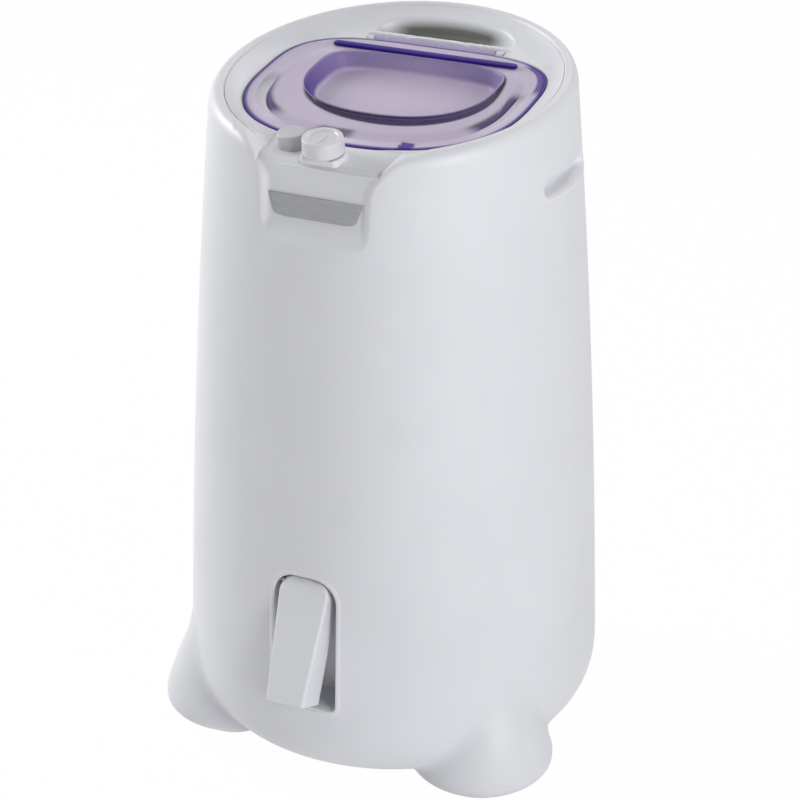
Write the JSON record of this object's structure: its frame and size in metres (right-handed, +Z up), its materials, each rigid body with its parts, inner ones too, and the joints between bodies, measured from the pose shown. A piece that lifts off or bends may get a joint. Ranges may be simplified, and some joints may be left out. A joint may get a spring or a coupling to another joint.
{
  "type": "laundry spin dryer",
  "caption": "Tapered round laundry spin dryer with a canted clear lid, perforated drum, timer knob, fold-out drain spout and rounded feet.",
  "frame": {"origin": "on the floor under the drum's axis, which is within 5 mm of the centre of the overall length and width", "axes": "+Z up along the drum's axis, +X to the right of someone facing the front, -Y towards the front with the knob and spout"},
  "size_m": [0.4142, 0.4784, 0.6999],
  "materials": {
    "white_case": "semi-gloss white moulded polypropylene",
    "white_trim": "semi-gloss white ABS",
    "white_tub": "satin white polypropylene",
    "grey_plate": "satin grey printed plate",
    "violet_clear": "clear violet-tinted plastic",
    "violet_deep": "deep violet moulded plastic",
    "black_plastic": "satin black plastic",
    "black_rubber": "matte black rubber",
    "foot_rubber": "matte dark grey rubber",
    "stainless": "brushed stainless steel",
    "zinc_steel": "zinc-plated steel",
    "shaft_steel": "ground steel",
    "cast_alloy": "die-cast aluminium",
    "cast_iron": "machined cast iron",
    "painted_steel": "dark grey paint",
    "capacitor_can": "drawn aluminium can"
  },
  "bodies": {
    "cabinet": {"cabinet_shell": "white_case", "top_deck": "white_case", "label_plate": "grey_plate", "base_pan": "black_plastic", "cord_gland": "black_plastic", "foot_front_left": "white_case", "foot_front_right": "white_case", "foot_rear": "white_case", "foot_pad_front_left": "foot_rubber", "foot_pad_front_right": "foot_rubber", "foot_pad_rear": "foot_rubber", "foot_screw_front_left": "zinc_steel", "foot_screw_front_right": "zinc_steel", "foot_screw_rear": "zinc_steel", "spout_housing": "white_case", "spout_pin": "zinc_steel", "drain_hose": "black_rubber", "lid_hinge_rod": "zinc_steel", "lid_switch": "black_plastic", "timer_body": "black_plastic", "button_spring": "zinc_steel", "deck_screw_1": "zinc_steel", "deck_screw_2": "zinc_steel", "deck_screw_3": "zinc_steel", "deck_screw_4": "zinc_steel", "tub": "white_tub", "tub_cover": "white_tub", "shaft_seal": "black_rubber", "motor_plate": "painted_steel", "motor_stator": "painted_steel", "motor_shield_lower": "cast_alloy", "motor_shield_upper": "cast_alloy", "bearing_lower": "shaft_steel", "bearing_upper": "shaft_steel", "brake_cable": "black_plastic", "run_capacitor": "capacitor_can", "rubber_mount_1": "black_rubber", "rubber_mount_2": "black_rubber", "rubber_mount_3": "black_rubber", "mount_bolt_1": "zinc_steel", "mount_bolt_2": "zinc_steel", "mount_bolt_3": "zinc_steel"},
    "lid": {"lid": "violet_clear", "lid_bar": "violet_deep", "lid_tongue": "violet_deep"},
    "rotor": {"spin_drum": "stainless", "drum_balance_ring": "white_tub", "drum_hub": "cast_alloy", "drum_nut": "zinc_steel", "drive_shaft": "shaft_steel", "motor_rotor": "shaft_steel", "cooling_fan": "black_plastic", "brake_drum": "cast_iron"},
    "knob": {"timer_knob": "white_trim", "timer_shaft": "zinc_steel"},
    "button": {"release_button": "white_trim"},
    "bolt": {"latch_bolt": "black_plastic"},
    "spout": {"drain_spout": "white_trim"},
    "brake": {"brake_lever": "zinc_steel", "brake_lining": "black_rubber"}
  },
  "joints": [
    {"name": "lid_hinge", "type": "hinge", "parent": "cabinet", "child": "lid", "pos_m": [0, 0.09255, 0.67493], "axis": [-1, 0, 0], "range_deg": [0, 100]},
    {"name": "drum_spin", "type": "hinge", "parent": "cabinet", "child": "rotor", "pos_m": [0, 0, 0.3], "axis": [0, 0, 1], "continuous": true},
    {"name": "timer_turn", "type": "hinge", "parent": "cabinet", "child": "knob", "pos_m": [0, -0.14479, 0.64603], "axis": [0, -0.1478, 0.989], "range_deg": [0, 270]},
    {"name": "release_press", "type": "slide", "parent": "cabinet", "child": "button", "axis": [0, 0.1478, -0.989], "range_m": [0, 0.004], "stiffness_N_per_m": 400, "springref_m": -0.003, "deforming": ["button_spring"]},
    {"name": "latch_slide", "type": "slide", "parent": "cabinet", "child": "bolt", "axis": [0, -0.989, -0.1478], "range_m": [0, 0.003]},
    {"name": "spout_swing", "type": "hinge", "parent": "cabinet", "child": "spout", "pos_m": [0, -0.186, 0.236], "axis": [1, 0, 0], "range_deg": [0, 21.5]},
    {"name": "brake_swing", "type": "hinge", "parent": "cabinet", "child": "brake", "pos_m": [0.0565, 0.034, 0.165], "axis": [0, 0, 1], "range_deg": [-6, 0]}
  ],
  "couplings": [
    {"joint": "brake_swing", "follows": "lid_hinge", "ratio": -0.06},
    {"joint": "latch_slide", "follows": "release_press", "ratio": 0.75}
  ]
}
